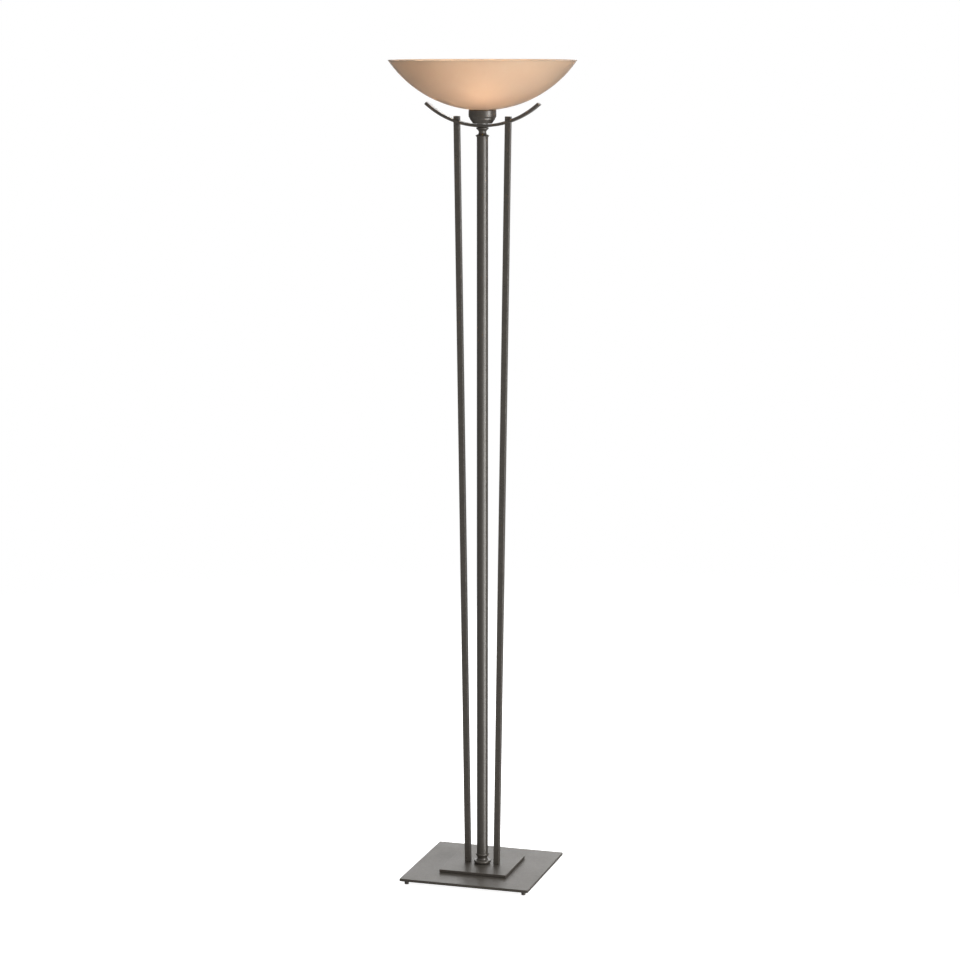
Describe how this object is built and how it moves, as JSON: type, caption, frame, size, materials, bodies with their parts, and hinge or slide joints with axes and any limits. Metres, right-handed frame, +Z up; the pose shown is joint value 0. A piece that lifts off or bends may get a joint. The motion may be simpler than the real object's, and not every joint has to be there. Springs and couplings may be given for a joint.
{
  "type": "torchiere floor lamp",
  "caption": "Tall uplighter floor lamp: square steel foot, tube between two leaning bars, bent cross bar and a clouded glass bowl clamped on a cup with a lampholder and bulb.",
  "frame": {"origin": "on the floor, on the axis of the column, at the centre of the four glides' undersides", "axes": "+Z up along the column; +X to the right through both side bars; -Y is the front"},
  "size_m": [0.418, 0.418, 1.8542],
  "materials": {
    "plate_paint": "semi-gloss smoky bronze paint with a fine grain",
    "column_paint": "satin smoky bronze paint with a fine grain",
    "steel": "bright zinc-plated",
    "brass": "bright",
    "black_plastic": "moulded, satin",
    "porcelain": "white, unglazed",
    "gasket_rubber": "soft, matt",
    "amber_glass": "cloudy amber opal glass, satin outside, with a polished rim",
    "bulb_aluminium": "bright",
    "bulb_insulation": "black glass insulator, glossy",
    "frosted_glass": "frosted white"
  },
  "bodies": {
    "stand": {"base_plate": "plate_paint", "plinth_plate": "plate_paint", "foot_fitting": "column_paint", "column_tube": "column_paint", "top_fitting": "column_paint", "side_bar_left": "column_paint", "side_bar_right": "column_paint", "bent_bar": "column_paint", "socket_cup": "column_paint", "threaded_pipe": "steel", "base_washer": "steel", "base_nut": "steel", "bar_screw_left": "steel", "bar_screw_right": "steel", "cup_seat_washer": "steel", "cup_nut": "steel", "terminal_screw_left": "brass", "terminal_screw_right": "brass", "centre_contact": "brass", "screw_shell": "brass", "cord_bushing": "black_plastic", "lampholder_cap": "black_plastic", "lampholder_body": "black_plastic", "clamp_ring": "black_plastic", "terminal_block": "porcelain", "lower_gasket": "gasket_rubber", "upper_gasket": "gasket_rubber", "glass_bowl": "amber_glass"},
    "bulb": {"bulb_cap": "bulb_aluminium", "bulb_tip": "bulb_aluminium", "bulb_insulator": "bulb_insulation", "bulb_globe": "frosted_glass"},
    "glide_front_left": {"glide_foot_front_left": "column_paint", "glide_stud_front_left": "steel"},
    "glide_front_right": {"glide_foot_front_right": "column_paint", "glide_stud_front_right": "steel"},
    "glide_rear_left": {"glide_foot_rear_left": "column_paint", "glide_stud_rear_left": "steel"},
    "glide_rear_right": {"glide_foot_rear_right": "column_paint", "glide_stud_rear_right": "steel"}
  },
  "joints": [
    {"name": "glide_front_left_travel", "type": "slide", "parent": "stand", "child": "glide_front_left", "axis": [0, 0, 1], "range_m": [-0.003, 0]},
    {"name": "glide_front_right_travel", "type": "slide", "parent": "stand", "child": "glide_front_right", "axis": [0, 0, 1], "range_m": [-0.003, 0]},
    {"name": "glide_rear_left_travel", "type": "slide", "parent": "stand", "child": "glide_rear_left", "axis": [0, 0, 1], "range_m": [-0.003, 0]},
    {"name": "glide_rear_right_travel", "type": "slide", "parent": "stand", "child": "glide_rear_right", "axis": [0, 0, 1], "range_m": [-0.003, 0]},
    {"name": "bulb_lift", "type": "slide", "parent": "stand", "child": "bulb", "axis": [0, 0, 1], "range_m": [0, 0.024]}
  ]
}
